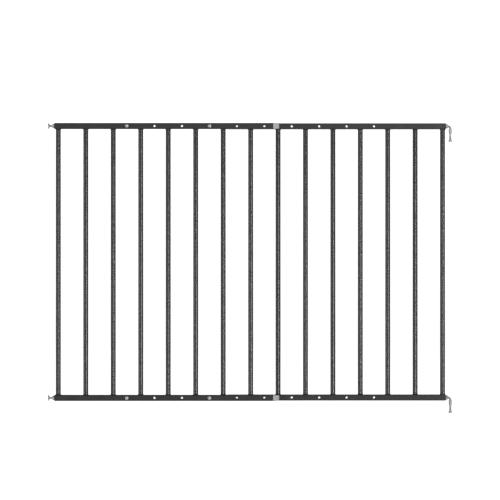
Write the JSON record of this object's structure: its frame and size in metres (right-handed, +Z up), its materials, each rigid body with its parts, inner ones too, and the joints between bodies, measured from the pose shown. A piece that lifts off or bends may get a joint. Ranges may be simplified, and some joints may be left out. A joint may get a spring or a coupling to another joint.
{
  "type": "safety baby gate",
  "caption": "Wall-mounted metal safety gate for a doorway or stairs, with two barred panels that slide to set its width, wall spindles and drop-in hooks.",
  "frame": {"origin": "centre of the lower wall pad's flat face, on the lower rail's centre line", "axes": "+X along the gate away from the wall pads, +Y from the front face to the back, +Z up"},
  "size_m": [1.0888, 0.0437, 0.7833],
  "materials": {
    "black_powder_coat": "satin black powder coat with a fine orange-peel texture",
    "black_plastic": "matte moulded plastic",
    "grey_plastic": "light grey moulded plastic",
    "zinc_plate": "bright zinc-plated steel"
  },
  "bodies": {
    "front_panel": {"front_bar_1": "black_powder_coat", "front_bar_2": "black_powder_coat", "front_bar_3": "black_powder_coat", "front_bar_4": "black_powder_coat", "front_bar_5": "black_powder_coat", "front_bar_6": "black_powder_coat", "front_bar_7": "black_powder_coat", "front_bar_8": "black_powder_coat", "front_top_rail": "black_powder_coat", "front_top_end_cap": "black_plastic", "front_top_guide": "grey_plastic", "front_bottom_rail": "black_powder_coat", "front_bottom_end_cap": "black_plastic", "front_bottom_guide": "grey_plastic", "upper_clamp_nut_1": "zinc_plate", "upper_clamp_nut_2": "zinc_plate", "lower_clamp_nut_1": "zinc_plate", "lower_clamp_nut_2": "zinc_plate"},
    "rear_panel": {"rear_bar_1": "black_powder_coat", "rear_bar_2": "black_powder_coat", "rear_bar_3": "black_powder_coat", "rear_bar_4": "black_powder_coat", "rear_bar_5": "black_powder_coat", "rear_bar_6": "black_powder_coat", "rear_bar_7": "black_powder_coat", "rear_bar_8": "black_powder_coat", "rear_top_rail": "black_powder_coat", "rear_top_end_cap": "black_plastic", "rear_top_guide": "grey_plastic", "rear_bottom_rail": "black_powder_coat", "rear_bottom_end_cap": "black_plastic", "rear_bottom_guide": "grey_plastic"},
    "upper_spindle": {"upper_spindle": "zinc_plate"},
    "upper_spindle_nut": {"upper_spindle_nut": "zinc_plate"},
    "upper_hook": {"upper_hook": "zinc_plate", "upper_hook_sleeve": "grey_plastic", "upper_hook_foot": "grey_plastic"},
    "upper_hook_nut": {"upper_hook_nut": "zinc_plate"},
    "upper_clamp_washer_1": {"upper_clamp_washer_1": "zinc_plate"},
    "upper_clamp_screw_1": {"upper_clamp_screw_1": "zinc_plate"},
    "upper_clamp_washer_2": {"upper_clamp_washer_2": "zinc_plate"},
    "upper_clamp_screw_2": {"upper_clamp_screw_2": "zinc_plate"},
    "lower_spindle": {"lower_spindle": "zinc_plate"},
    "lower_spindle_nut": {"lower_spindle_nut": "zinc_plate"},
    "lower_hook": {"lower_hook": "zinc_plate", "lower_hook_sleeve": "grey_plastic", "lower_hook_foot": "grey_plastic"},
    "lower_hook_nut": {"lower_hook_nut": "zinc_plate"},
    "lower_clamp_washer_1": {"lower_clamp_washer_1": "zinc_plate"},
    "lower_clamp_screw_1": {"lower_clamp_screw_1": "zinc_plate"},
    "lower_clamp_washer_2": {"lower_clamp_washer_2": "zinc_plate"},
    "lower_clamp_screw_2": {"lower_clamp_screw_2": "zinc_plate"}
  },
  "joints": [
    {"name": "rear_panel_slide", "type": "slide", "parent": "front_panel", "child": "rear_panel", "axis": [1, 0, 0], "range_m": [-0.444, 0]},
    {"name": "upper_spindle_adjust", "type": "slide", "parent": "front_panel", "child": "upper_spindle", "axis": [1, 0, 0], "range_m": [-0.02, 0.006]},
    {"name": "upper_spindle_nut_turn", "type": "hinge", "parent": "front_panel", "child": "upper_spindle_nut", "pos_m": [0.0139, 0, 0.732], "axis": [1, 0, 0], "continuous": true},
    {"name": "upper_hook_adjust", "type": "slide", "parent": "rear_panel", "child": "upper_hook", "axis": [1, 0, 0], "range_m": [0, 0.02]},
    {"name": "upper_hook_nut_turn", "type": "hinge", "parent": "rear_panel", "child": "upper_hook_nut", "pos_m": [1.0744, 0.0168, 0.732], "axis": [1, 0, 0], "continuous": true},
    {"name": "upper_clamp_travel_1", "type": "slide", "parent": "front_panel", "child": "upper_clamp_washer_1", "axis": [0, 1, 0], "range_m": [0, 0.005]},
    {"name": "upper_clamp_turn_1", "type": "hinge", "parent": "upper_clamp_washer_1", "child": "upper_clamp_screw_1", "pos_m": [0.21215, 0, 0.732], "axis": [0, 1, 0], "continuous": true},
    {"name": "upper_clamp_travel_2", "type": "slide", "parent": "front_panel", "child": "upper_clamp_washer_2", "axis": [0, 1, 0], "range_m": [0, 0.005]},
    {"name": "upper_clamp_turn_2", "type": "hinge", "parent": "upper_clamp_washer_2", "child": "upper_clamp_screw_2", "pos_m": [0.43415, 0, 0.732], "axis": [0, 1, 0], "continuous": true},
    {"name": "lower_spindle_adjust", "type": "slide", "parent": "front_panel", "child": "lower_spindle", "axis": [1, 0, 0], "range_m": [-0.02, 0.006]},
    {"name": "lower_spindle_nut_turn", "type": "hinge", "parent": "front_panel", "child": "lower_spindle_nut", "pos_m": [0.0139, 0, 0], "axis": [1, 0, 0], "continuous": true},
    {"name": "lower_hook_adjust", "type": "slide", "parent": "rear_panel", "child": "lower_hook", "axis": [1, 0, 0], "range_m": [0, 0.02]},
    {"name": "lower_hook_nut_turn", "type": "hinge", "parent": "rear_panel", "child": "lower_hook_nut", "pos_m": [1.0744, 0.0168, 0], "axis": [1, 0, 0], "continuous": true},
    {"name": "lower_clamp_travel_1", "type": "slide", "parent": "front_panel", "child": "lower_clamp_washer_1", "axis": [0, 1, 0], "range_m": [0, 0.005]},
    {"name": "lower_clamp_turn_1", "type": "hinge", "parent": "lower_clamp_washer_1", "child": "lower_clamp_screw_1", "pos_m": [0.21215, 0, 0], "axis": [0, 1, 0], "continuous": true},
    {"name": "lower_clamp_travel_2", "type": "slide", "parent": "front_panel", "child": "lower_clamp_washer_2", "axis": [0, 1, 0], "range_m": [0, 0.005]},
    {"name": "lower_clamp_turn_2", "type": "hinge", "parent": "lower_clamp_washer_2", "child": "lower_clamp_screw_2", "pos_m": [0.43415, 0, 0], "axis": [0, 1, 0], "continuous": true}
  ],
  "couplings": [
    {"joint": "upper_spindle_nut_turn", "follows": "upper_spindle_adjust", "rad_per_m": -6283.2},
    {"joint": "upper_hook_nut_turn", "follows": "upper_hook_adjust", "rad_per_m": -6283.2},
    {"joint": "upper_clamp_turn_1", "follows": "upper_clamp_travel_1", "rad_per_m": 7854},
    {"joint": "upper_clamp_turn_2", "follows": "upper_clamp_travel_2", "rad_per_m": 7854},
    {"joint": "lower_spindle_nut_turn", "follows": "lower_spindle_adjust", "rad_per_m": -6283.2},
    {"joint": "lower_hook_nut_turn", "follows": "lower_hook_adjust", "rad_per_m": -6283.2},
    {"joint": "lower_clamp_turn_1", "follows": "lower_clamp_travel_1", "rad_per_m": 7854},
    {"joint": "lower_clamp_turn_2", "follows": "lower_clamp_travel_2", "rad_per_m": 7854}
  ]
}
